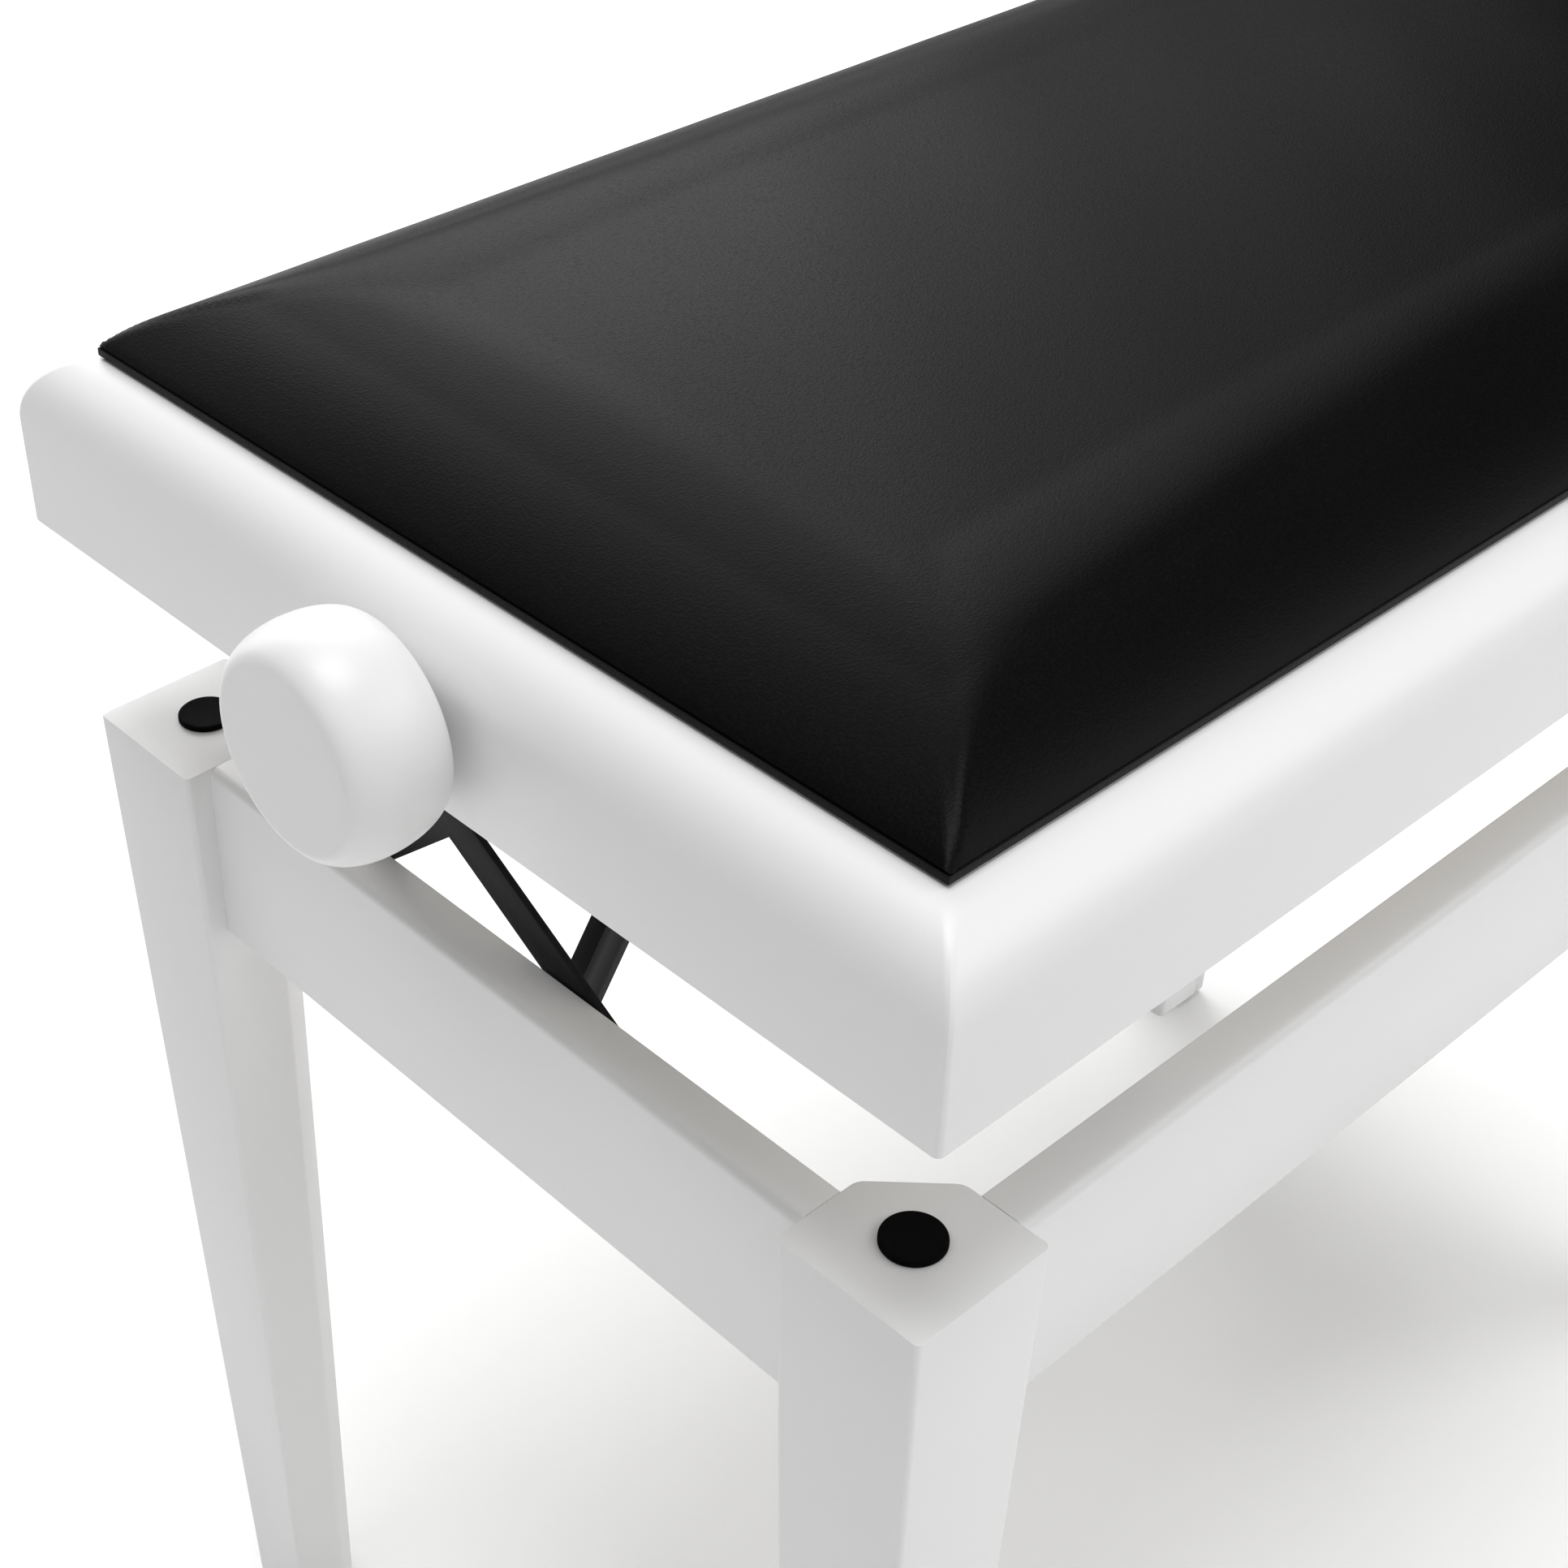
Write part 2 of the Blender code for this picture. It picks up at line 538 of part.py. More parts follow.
def spindle_and_knobs():
    reach = HALF_L + KNOB_STANDOFF + KNOB_BORE - FIT
    cylinder("spindle", ZINC_STEEL, (0, 0, SPINDLE_Z), SPINDLE_RADIUS, 2 * reach, "X")
    bush = [(SPINDLE_RADIUS + FIT, 0), (SPINDLE_RADIUS + FIT, BOARD_THICK + FLANGE_THICK),
            (FLANGE_RADIUS, BOARD_THICK + FLANGE_THICK), (FLANGE_RADIUS, BOARD_THICK + FIT),
            (BUSH_RADIUS, BOARD_THICK + FIT), (BUSH_RADIUS, 0), (SPINDLE_RADIUS + FIT, 0)]
    for end, sx in SIDES:
        outwards = (0, sx * math.pi / 2, 0)
        turned(f"knob_{end}", LACQUER, knob_profile(), (sx * (HALF_L + KNOB_STANDOFF), 0, SPINDLE_Z),
               outwards)
        turned(f"spindle_bush_{end}", BLACK_STEEL, bush, (sx * (HALF_L - BOARD_THICK), 0, SPINDLE_Z),
               outwards)


base_frame()
lower_brackets()
guide_straps()
for end_name, end_side in SIDES:
    linkage(end_name, end_side)
    nut(end_name, end_side)
seat_frame()
cushion()
guide_posts()
upper_brackets()
spindle_and_knobs()
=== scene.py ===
import json
import math

import bmesh
import bpy
import numpy as np
from mathutils import Matrix, Vector
from mathutils.bvhtree import BVHTree

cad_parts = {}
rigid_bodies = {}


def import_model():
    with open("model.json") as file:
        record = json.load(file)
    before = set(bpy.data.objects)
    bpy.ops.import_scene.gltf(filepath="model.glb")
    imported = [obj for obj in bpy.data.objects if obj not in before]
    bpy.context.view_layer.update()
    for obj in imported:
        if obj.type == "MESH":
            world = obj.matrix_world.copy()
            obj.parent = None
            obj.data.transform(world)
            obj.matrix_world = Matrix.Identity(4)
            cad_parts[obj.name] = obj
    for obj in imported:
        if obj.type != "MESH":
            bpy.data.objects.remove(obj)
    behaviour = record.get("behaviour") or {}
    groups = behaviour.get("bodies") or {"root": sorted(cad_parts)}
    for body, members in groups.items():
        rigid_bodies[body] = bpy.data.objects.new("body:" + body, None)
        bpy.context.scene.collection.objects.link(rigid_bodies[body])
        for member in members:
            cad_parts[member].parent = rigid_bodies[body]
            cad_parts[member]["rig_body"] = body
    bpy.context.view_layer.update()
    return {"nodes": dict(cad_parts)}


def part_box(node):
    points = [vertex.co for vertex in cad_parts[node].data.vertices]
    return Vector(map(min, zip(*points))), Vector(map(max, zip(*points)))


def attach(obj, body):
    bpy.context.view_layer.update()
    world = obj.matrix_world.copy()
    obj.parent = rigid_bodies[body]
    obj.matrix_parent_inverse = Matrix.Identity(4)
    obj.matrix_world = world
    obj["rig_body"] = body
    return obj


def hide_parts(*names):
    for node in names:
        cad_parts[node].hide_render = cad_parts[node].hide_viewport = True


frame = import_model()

# ---------------------------------------------------------------- legs
# Four beech legs, square at the top and tapering on every side to the foot. The inner corner is
# planed off, the long edges are rounded over, and the whole is sprayed with white satin lacquer.
leg_inner_taper = 0.0085
leg_outer_taper = 0.006
leg_corner_cut = 0.0173
leg_edge_radius = 0.0018
top_ease = 0.0004
foot_ease = 0.0010


def block(name, low, high):
    """Add a box between two corners, with its place in its mesh."""
    bpy.ops.object.select_all(action="DESELECT")
    low = Vector(low)
    high = Vector(high)
    bpy.ops.mesh.primitive_cube_add(size=1, location=(low + high) / 2)
    piece = bpy.context.object
    piece.name = name
    piece.scale = high - low
    bpy.ops.object.transform_apply(location=True, rotation=True, scale=True)
    return piece


def edit(piece):
    """Open one piece in edit mode."""
    bpy.ops.object.select_all(action="DESELECT")
    piece.select_set(True)
    bpy.context.view_layer.objects.active = piece
    bpy.ops.object.mode_set(mode="EDIT")


def leave():
    bpy.ops.object.mode_set(mode="OBJECT")


def choose(piece, kind, test):
    """In edit mode, select the vertices, edges or faces whose middle and direction pass a test."""
    bpy.ops.mesh.select_mode(type=kind)
    bpy.ops.mesh.select_all(action="DESELECT")
    shape = bmesh.from_edit_mesh(piece.data)
    shape.normal_update()
    for item in {"VERT": shape.verts, "EDGE": shape.edges, "FACE": shape.faces}[kind]:
        if kind == "VERT":
            chosen = test(item.co, item.normal)
        elif kind == "EDGE":
            first, second = (vert.co for vert in item.verts)
            chosen = test((first + second) / 2, (second - first).normalized())
        else:
            chosen = test(item.calc_center_median(), item.normal)
        if chosen:
            item.select_set(True)
    shape.select_flush_mode()
    bmesh.update_edit_mesh(piece.data)


def smooth(piece, degrees=35):
    """Shade a piece smooth, with the corners sharper than an angle left crisp."""
    bpy.ops.object.select_all(action="DESELECT")
    piece.select_set(True)
    bpy.context.view_layer.objects.active = piece
    bpy.ops.object.shade_smooth_by_angle(angle=math.radians(degrees))


def copy_of(piece, name, matrix):
    """A copy of a piece, with its own mesh, moved or mirrored into place."""
    made = bpy.data.objects.new(name, piece.data.copy())
    bpy.context.scene.collection.objects.link(made)
    made.data.transform(matrix)
    if matrix.determinant() < 0:
        made.data.flip_normals()
    return made


def take_place(piece, node, finish):
    """The piece stands for a node: it rides on the node's body and wears its finish."""
    piece.data.materials.clear()
    piece.data.materials.append(finish)
    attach(piece, frame["nodes"][node]["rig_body"])
    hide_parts(node)


class Wire:
    """One output of a finish's nodes, on which sums are written as sums."""

    def __init__(self, socket):
        self.socket = socket

    def node(self, kind, settings, sockets, output=0):
        """Add a node of a type, with its settings and the values or links of its sockets."""
        tree = self.socket.id_data
        made = tree.nodes.new("ShaderNode" + kind)
        for name, value in settings.items():
            setattr(made, name, value)
        for name, value in sockets.items():
            if isinstance(value, Wire):
                tree.links.new(value.socket, made.inputs[name])
            else:
                made.inputs[name].default_value = value
        return Wire(made.outputs[output])

    def sum_of(self, operation, first, second):
        return self.node("Math", {"operation": operation}, {0: first, 1: second})

    def __add__(self, other):
        return self.sum_of("ADD", self, other)

    def __radd__(self, other):
        return self.sum_of("ADD", other, self)

    def __mul__(self, other):
        return self.sum_of("MULTIPLY", self, other)

    def __rmul__(self, other):
        return self.sum_of("MULTIPLY", other, self)

    def speckle(self, scale, detail=2.0, roughness=0.5):
        """Smooth noise over these coordinates, about 0.5."""
        return self.node("TexNoise", {}, {"Vector": self, "Scale": scale, "Detail": detail,
                                          "Roughness": roughness})

    def stretched(self, scale):
        """These coordinates drawn out by a scale for each axis."""
        return self.node("Mapping", {}, {"Vector": self, "Scale": scale})

    def between(self, low, high):
        """The colour between two colours at this value."""
        return self.node("Mix", {"data_type": "RGBA"}, {0: self, 6: (*low, 1), 7: (*high, 1)}, 2)

    def bump(self, strength, distance):
        return self.node("Bump", {}, {"Height": self, "Strength": strength, "Distance": distance})


def new_finish(name, **constants):
    """A material, its shader and the object's coordinates."""
    finish = bpy.data.materials.new(name)
    finish.use_nodes = True
    shader = finish.node_tree.nodes["Principled BSDF"]
    for socket, value in constants.items():
        shader.inputs[socket.replace("_", " ")].default_value = value
    coordinates = finish.node_tree.nodes.new("ShaderNodeTexCoord")
    return finish, shader, Wire(coordinates.outputs["Object"])


def feed(shader, **wires):
    """Link values that change over the surface to the shader."""
    for socket, wire in wires.items():
        shader.id_data.links.new(wire.socket, shader.inputs[socket.replace("_", " ")])


lacquer, shader, place = new_finish("white_satin_lacquer", Coat_Weight=0.15, Coat_Roughness=0.25,
                                    Specular_IOR_Level=0.45)
clouds = place.speckle(7.0, 3.0)
grain = place.stretched((60, 60, 900)).speckle(1.0, 3.0)
peel = place.speckle(520.0, 1.0)
feed(shader, Base_Color=clouds.between((0.790, 0.790, 0.788), (0.815, 0.815, 0.815)),
     Roughness=0.34 + 0.10 * peel + 0.06 * clouds,
     Normal=(0.7 * peel + 0.3 * grain).bump(0.10, 0.0002))

low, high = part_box("leg_front_left")
leg = block("wood_leg_front_left", low, high)
edit(leg)
choose(leg, "EDGE", lambda middle, way: abs(way.z) > 0.9 and middle.x > high.x - 0.001
       and middle.y > high.y - 0.001)
bpy.ops.mesh.bevel(offset=leg_corner_cut, offset_type="OFFSET", segments=1, affect="EDGES")
choose(leg, "VERT", lambda spot, normal: spot.z < low.z + 0.001)
side = high.x - low.x
narrow = (side - leg_outer_taper - leg_inner_taper) / side
bpy.ops.transform.resize(value=(narrow, narrow, 1), center_override=(low.x, low.y, low.z))
bpy.ops.transform.translate(value=(leg_outer_taper, leg_outer_taper, 0))
choose(leg, "EDGE", lambda middle, way: abs(way.z) > 0.9)
bpy.ops.mesh.bevel(offset=leg_edge_radius, segments=4, affect="EDGES")
choose(leg, "EDGE", lambda middle, way: abs(way.z) < 0.1 and middle.z > high.z - 0.0005)
bpy.ops.mesh.bevel(offset=top_ease, segments=2, affect="EDGES")
choose(leg, "EDGE", lambda middle, way: abs(way.z) < 0.1 and middle.z < low.z + 0.0005)
bpy.ops.mesh.bevel(offset=foot_ease, segments=2, affect="EDGES")
leave()
ends = (("left", 1), ("right", -1))
faces = (("front", 1), ("back", -1))
for end, across in ends:
    for face, along in faces:
        name = f"wood_leg_{face}_{end}"
        mirror = Matrix.Diagonal((across, along, 1, 1))
        made = leg if name == leg.name else copy_of(leg, name, mirror)
        smooth(made)
        take_place(made, f"leg_{face}_{end}", lacquer)

# ---------------------------------------------------------------- rails
# Four beech rails, tenoned and glued between the legs a little behind their outer faces. The top
# outer edge of each is rounded over and the others only eased; lacquered with the legs.
rail_top_radius = 0.003
rail_ease = 0.0005
tenon_overlap = 0.0003
leg_low, leg_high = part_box("leg_front_left")
for node, along, side in (("rail_front", 0, -1), ("rail_left", 1, -1)):
    low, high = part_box(node)
    taper = leg_inner_taper * (high.z - low.z) / (leg_high.z - leg_low.z)
    rail = block(f"wood_{node}", low, high)
    edit(rail)
    for way in (-1, 1):
        choose(rail, "VERT", lambda spot, normal: spot[along] * way > 0 and spot.z > high.z - 0.001)
        move = [0, 0, 0]
        move[along] = -way * taper
        bpy.ops.transform.translate(value=move)
        choose(rail, "VERT", lambda spot, normal: spot[along] * way > 0)
        move[along] = way * tenon_overlap
        bpy.ops.transform.translate(value=move)
    across = 1 - along
    choose(rail, "EDGE", lambda middle, way: abs(way[along]) > 0.9 and middle.z > high.z - 0.001
           and middle[across] < low[across] + 0.001)
    bpy.ops.mesh.bevel(offset=rail_top_radius, segments=6, affect="EDGES")
    choose(rail, "EDGE", lambda middle, way: abs(way[along]) > 0.9
           and (middle[across] > high[across] - 0.0002 or middle.z < low.z + 0.0002))
    bpy.ops.mesh.bevel(offset=rail_ease, segments=2, affect="EDGES")
    leave()
    opposite = {"rail_front": "rail_back", "rail_left": "rail_right"}[node]
    other = copy_of(rail, f"wood_{opposite}", Matrix.Rotation(math.pi, 4, "Z"))
    for made, stands_for in ((rail, node), (other, opposite)):
        smooth(made)
        take_place(made, stands_for, lacquer)

# ---------------------------------------------------------------- bumpers and glides
# A black rubber disc is stuck on each leg's top, where the seat comes down on it. A grey nylon
# glide with a rounded rim is nailed under each foot.
bumper_rim = 0.0006
glide_rim = 0.0009
dish = 0.00012


def disc(node, name, rim, top):
    """A round pad standing for a node, its free face dished and the rim of it rounded."""
    low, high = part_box(node)
    bpy.ops.object.select_all(action="DESELECT")
    bpy.ops.mesh.primitive_cylinder_add(vertices=72, radius=(high.x - low.x) / 2,
                                        depth=high.z - low.z, location=(low + high) / 2)
    pad = bpy.context.object
    pad.name = name
    bpy.ops.object.transform_apply(location=True, rotation=True, scale=True)
    level = high.z if top else low.z
    edit(pad)
    choose(pad, "EDGE", lambda middle, way: abs(way.z) < 0.1 and abs(middle.z - level) < 0.0001)
    bpy.ops.mesh.bevel(offset=rim, segments=5, affect="EDGES")
    choose(pad, "FACE", lambda middle, normal: abs(normal.z) > 0.99
           and abs(middle.z - level) < 0.0001)
    bpy.ops.mesh.inset(thickness=rim)
    bpy.ops.mesh.inset(thickness=rim)
    bpy.ops.transform.translate(value=(0, 0, -dish if top else dish))
    leave()
    return pad


rubber, shader, place = new_finish("black_rubber", Specular_IOR_Level=0.05)
dust = place.speckle(900.0, 3.0)
feed(shader, Base_Color=dust.between((0.0012, 0.0012, 0.0012), (0.0035, 0.0035, 0.0035)),
     Roughness=0.62 + 0.25 * dust, Normal=dust.bump(0.25, 0.0002))
nylon, shader, place = new_finish("grey_nylon", Specular_IOR_Level=0.4)
haze = place.speckle(260.0, 2.0)
feed(shader, Base_Color=haze.between((0.26, 0.26, 0.265), (0.33, 0.33, 0.335)),
     Roughness=0.42 + 0.2 * haze, Normal=haze.bump(0.12, 0.0003))
bumper = disc("bumper_front_left", "rubber_bumper_front_left", bumper_rim, True)
glide = disc("glide_front_left", "nylon_glide_front_left", glide_rim, False)
for end, across in ends:
    for face, along in faces:
        mirror = Matrix.Diagonal((across, along, 1, 1))
        for first, node, kind, finish in ((bumper, "bumper", "rubber_bumper", rubber),
                                          (glide, "glide", "nylon_glide", nylon)):
            name = f"{kind}_{face}_{end}"
            made = first if name == first.name else copy_of(first, name, mirror)
            smooth(made)
            take_place(made, f"{node}_{face}_{end}", finish)

# ---------------------------------------------------------------- steel in the base
# A folded clevis screwed inside each short rail holds the foot of a lift arm. Beside it a bent flat
# strap stands up behind the seat's end board and keeps the seat from shifting. Black powder coat.
plate_ease = 0.0003
bush_ease = 0.0002


def refined(node, name, ease):
    """A solid's own shape, with its edges eased as the coating leaves them."""
    made = bpy.data.objects.new(name, frame["nodes"][node].data.copy())
    bpy.context.scene.collection.objects.link(made)
    edit(made)
    bpy.ops.mesh.select_all(action="SELECT")
    bpy.ops.mesh.remove_doubles(threshold=0.000002)
    bpy.ops.mesh.dissolve_limited(angle_limit=math.radians(1))
    leave()
    step = made.modifiers.new("ease", "BEVEL")
    step.width = ease
    step.segments = 2
    step.limit_method = "ANGLE"
    step.angle_limit = math.radians(40)
    bpy.ops.object.modifier_apply(modifier="ease")
    smooth(made)
    return made


powder_coat, shader, place = new_finish("black_powder_coat", Specular_IOR_Level=0.16)
pebble = place.speckle(1100.0, 2.0)
film = place.speckle(14.0, 3.0)
feed(shader, Base_Color=film.between((0.006, 0.006, 0.0064), (0.011, 0.011, 0.0114)),
     Roughness=0.38 + 0.12 * pebble + 0.08 * film, Normal=pebble.bump(0.35, 0.0002))
for end, across in ends:
    for node in (f"lower_bracket_{end}", f"guide_strap_{end}"):
        take_place(refined(node, f"steel_{node}", plate_ease), node, powder_coat)

# ---------------------------------------------------------------- lift arms, nuts and pins
# At each end a thick lift arm rises from the base to the fork of a block nut on the spindle, and
# two thinner brace arms hang from the seat to its middle. They turn on zinc-plated rivets.
arm_ease = 0.0005
nut_ease = 0.0006
pin_ease = 0.0004


def rod(node, name, axis, ease, vertices=32):
    """A round bar along an axis, standing for a node, with its ends chamfered round."""
    low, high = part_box(node)
    size = high - low
    across = (axis + 1) % 3
    turn = {0: (0, math.pi / 2, 0), 1: (math.pi / 2, 0, 0), 2: (0, 0, 0)}[axis]
    bpy.ops.object.select_all(action="DESELECT")
    bpy.ops.mesh.primitive_cylinder_add(vertices=vertices, radius=size[across] / 2,
                                        depth=size[axis], location=(low + high) / 2, rotation=turn)
    bar = bpy.context.object
    bar.name = name
    bpy.ops.object.transform_apply(location=True, rotation=True, scale=True)
    edit(bar)
    choose(bar, "EDGE", lambda middle, way: abs(way[axis]) < 0.1)
    bpy.ops.mesh.bevel(offset=ease, segments=3, affect="EDGES")
    leave()
    smooth(bar)
    return bar


zinc, shader, place = new_finish("zinc_plate", Metallic=1.0)
drawn = place.stretched((90, 2400, 2400)).speckle(1.0, 2.0)
tint = place.speckle(45.0, 3.0)
feed(shader, Base_Color=tint.between((0.50, 0.505, 0.52), (0.60, 0.595, 0.575)),
     Roughness=0.26 + 0.14 * drawn + 0.08 * tint, Normal=drawn.bump(0.12, 0.0001))
for end, across in ends:
    for node in (f"lift_arm_{end}", f"brace_arm_{end}_front", f"brace_arm_{end}_back"):
        take_place(refined(node, f"steel_{node}", arm_ease), node, powder_coat)
    take_place(refined(f"nut_{end}", f"steel_nut_{end}", nut_ease), f"nut_{end}", powder_coat)
    for node in (f"lower_pin_{end}", f"centre_pin_{end}", f"nut_pin_{end}",
                 f"upper_pin_{end}"):
        take_place(rod(node, f"zinc_{node}", 1, pin_ease), node, zinc)

# ---------------------------------------------------------------- seat frame
# Four beech boards mitred and glued into a frame, then worked as one: the top outer edge is a full
# quarter round, the mitred corners are softened, and a rebate inside holds the panel. White
# lacquer.
board_round = 0.0179
board_thick = 0.026
corner_radius = 0.0018
bottom_ease = 0.0008
hole_radius = 0.0068
panel_fit = 0.0003
cutter_reach = 0.01
panel_low, panel_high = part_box("seat_panel")
board_low, board_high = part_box("seat_board_front")
end_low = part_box("seat_board_left")[0]
seat_low = Vector((end_low.x, board_low.y, board_low.z))
seat_high = Vector((-end_low.x, -board_low.y, board_high.z))


def cut_away(piece, cutter):
    """Take a cutter away from a piece, and remove the cutter."""
    step = piece.modifiers.new("cut", "BOOLEAN")
    step.operation = "DIFFERENCE"
    step.solver = "EXACT"
    step.object = cutter
    bpy.ops.object.select_all(action="DESELECT")
    piece.select_set(True)
    bpy.context.view_layer.objects.active = piece
    bpy.ops.object.modifier_apply(modifier="cut")
    bpy.data.objects.remove(cutter, do_unlink=True)


ring = block("seat_ring", seat_low, seat_high)
edit(ring)
choose(ring, "EDGE", lambda middle, way: abs(way.z) < 0.1 and middle.z > seat_high.z - 0.001)
bpy.ops.mesh.bevel(offset=board_round, segments=18, affect="EDGES")
choose(ring, "EDGE", lambda middle, way: abs(way.z) > 0.02 and abs(abs(way.x) - abs(way.y)) < 0.001
       and abs((seat_high.x - abs(middle.x)) - (seat_high.y - abs(middle.y))) < 0.00001)
bpy.ops.mesh.bevel(offset=corner_radius, segments=4, affect="EDGES")
choose(ring, "EDGE", lambda middle, way: abs(way.z) < 0.1 and middle.z < seat_low.z + 0.0005)
bpy.ops.mesh.bevel(offset=bottom_ease, segments=3, affect="EDGES")
leave()
inner = Vector((seat_high.x - board_thick, seat_high.y - board_thick, 1))
cut_away(ring, block("hollow", (-inner.x, -inner.y, seat_low.z - cutter_reach),
                     (inner.x, inner.y, seat_high.z + cutter_reach)))
fit = Vector((panel_fit, panel_fit, panel_fit))
above = Vector((0, 0, cutter_reach))
cut_away(ring, block("rebate", panel_low - fit, panel_high + fit + above))
spindle_z = sum(corner.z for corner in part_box("spindle")) / 2
bpy.ops.object.select_all(action="DESELECT")
bpy.ops.mesh.primitive_cylinder_add(vertices=48, radius=hole_radius, depth=3 * seat_high.x,
                                    location=(0, 0, spindle_z), rotation=(0, math.pi / 2, 0))
cut_away(ring, bpy.context.object)
for name, heading in (("front", (0, -1)), ("back", (0, 1)), ("left", (-1, 0)), ("right", (1, 0))):
    board = copy_of(ring, f"wood_seat_board_{name}", Matrix.Identity(4))
    corner_x = seat_high.x
    corner_y = seat_high.y
    edit(board)
    for sign in (-1, 1):
        if heading[1]:
            corner = (sign * corner_x, heading[1] * corner_y, 0)
            away = Vector((sign, -heading[1], 0)).normalized()
        else:
            corner = (heading[0] * corner_x, sign * corner_y, 0)
            away = Vector((-heading[0], sign, 0)).normalized()
        bpy.ops.mesh.select_all(action="SELECT")
        bpy.ops.mesh.bisect(plane_co=corner, plane_no=away, use_fill=True, clear_outer=True)
    leave()
    smooth(board, 25)
    take_place(board, f"seat_board_{name}", lacquer)
bpy.data.objects.remove(ring, do_unlink=True)

# ---------------------------------------------------------------- seat panel
# A 9 mm birch plywood panel glued into the frame's rebate. It carries the cushion, the guide posts
# and the steel brackets, and is left bare underneath.
birch, shader, place = new_finish("bare_birch_plywood", Specular_IOR_Level=0.3)
figure = place.stretched((9, 130, 130)).speckle(1.0, 5.0, 0.6)
pores = place.stretched((260, 2600, 2600)).speckle(1.0, 2.0)
patches = place.speckle(6.0, 2.0)
feed(shader, Base_Color=(0.6 * figure + 0.25 * pores + 0.15 * patches).between((0.50, 0.44, 0.36),
                                                                            (0.74, 0.69, 0.62)),
     Roughness=0.62 + 0.2 * pores, Normal=(figure + pores).bump(0.2, 0.0003))
panel_ease = 0.0004
panel = block("plywood_seat_panel", panel_low, panel_high)
edit(panel)
bpy.ops.mesh.select_all(action="SELECT")
bpy.ops.mesh.bevel(offset=panel_ease, segments=2, affect="EDGES")
leave()
smooth(panel)
take_place(panel, "seat_panel", birch)

# ---------------------------------------------------------------- cushion
# A foam pad under black leatherette, drawn down tight at the edges and stapled to the panel: a low
# upright border, a crown that rises from it, and a folded pleat running in from each corner.
cushion_low, cushion_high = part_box("cushion")
border = 0.0035
shoulder = 0.064
turn_down = 0.80
end_doming = 0.31
side_doming = 0.16
corner_softness = 0.0004
crown_softness = 0.010
pad_inset = 0.002
pad_steps = 7
pad_fullness = 0.9
cloth_size = 0.005
pressure = 4
stretch_stiffness = 15
fold_stiffness = 0.5
moments = 20
calm_edge = 0.03
swell_limit = 0.003
settling_passes = 400
swell_share = 0.35
pleat_length = 0.062
pleat_depth = 0.0006
pleat_width = 0.0006
pleat_offset = 0.0008
pucker_at = 0.066
pucker_size = 0.008
pucker_height = 0.00035
wander_height = 0.00018
close_spacing = 0.0011
wide_spacing = 0.0032
spacing_growth = 0.03
crown = cushion_high.z - cushion_low.z - border
half_x = cushion_high.x
half_y = cushion_high.y


def rise(distance, reach, doming):
    """The height of the crown above the border, at a distance in from an edge."""
    turned_down = np.sin(np.pi / 2 * np.clip(distance / shoulder, 0, 1) ** turn_down)
    domed = np.sin(np.pi / 2 * np.clip(distance / reach, 0, 1))
    return crown * ((1 - doming) * turned_down + doming * domed)


def spread_to(half, fine, coarse):
    """Places across a width, close together at the edges and wider in the middle."""
    places = [0.0]
    while places[-1] < half:
        places.append(places[-1] + min(coarse, fine + spacing_growth * places[-1]))
    inwards = np.array(places) * half / places[-1]
    return np.concatenate([-half + inwards[:-1], (half - inwards)[::-1]])


def swollen_form():
    """The first form of the foam and cover: a stepped pad, later blown up from inside as cloth held
    round the border.
    """
    pad = block("pad_form", (-half_x + pad_inset, -half_y + pad_inset, cushion_low.z),
                (half_x - pad_inset, half_y - pad_inset, cushion_low.z + border))
    edit(pad)
    top = cushion_low.z + border
    levels = rise(shoulder * np.arange(pad_steps + 1) / pad_steps, half_y, side_doming)
    for lift in pad_fullness * np.diff(levels):
        choose(pad, "FACE", lambda middle, normal: normal.z > 0.99 and middle.z > top - 0.0001)
        bpy.ops.mesh.inset(thickness=shoulder / pad_steps)
        bpy.ops.transform.translate(value=(0, 0, float(lift)))
        top += lift
    leave()
    return pad


def leather_sheet(xs, ys, heights):
    """The pad's closed skin: a close grid on top, the border, and a flat underside."""
    columns = len(xs)
    rows = len(ys)
    points = [(x, y, heights[j, i]) for j, y in enumerate(ys) for i, x in enumerate(xs)]
    quads = [(j * columns + i, j * columns + i + 1,
              (j + 1) * columns + i + 1, (j + 1) * columns + i)
             for j in range(rows - 1) for i in range(columns - 1)]
    rim = ([i for i in range(columns)] + [j * columns + columns - 1 for j in range(1, rows)]
           + [(rows - 1) * columns + i for i in range(columns - 2, -1, -1)]
           + [j * columns for j in range(rows - 2, 0, -1)])
    rings = [rim]
    for tuck, level in ((0.0006, border - 0.0005), (0.0, border - 0.0009), (0.0, 0.0006),
                        (0.0005, 0.0)):
        first = len(points)
        for index in rim:
            x, y, _ = points[index]
            points.append((x * (half_x - tuck) / half_x, y * (half_y - tuck) / half_y,
                           cushion_low.z + level))
        rings.append(list(range(first, first + len(rim))))
    for upper, lower in zip(rings, rings[1:]):
        count = len(rim)
        quads += [(upper[(k + 1) % count], upper[k], lower[k], lower[(k + 1) % count])
                  for k in range(count)]
    quads.append(tuple(reversed(rings[-1])))
    skin = bpy.data.meshes.new("leatherette_cushion")
    skin.from_pydata(points, [], quads)
    made = bpy.data.objects.new("leatherette_cushion", skin)
    bpy.context.scene.collection.objects.link(made)
    return made


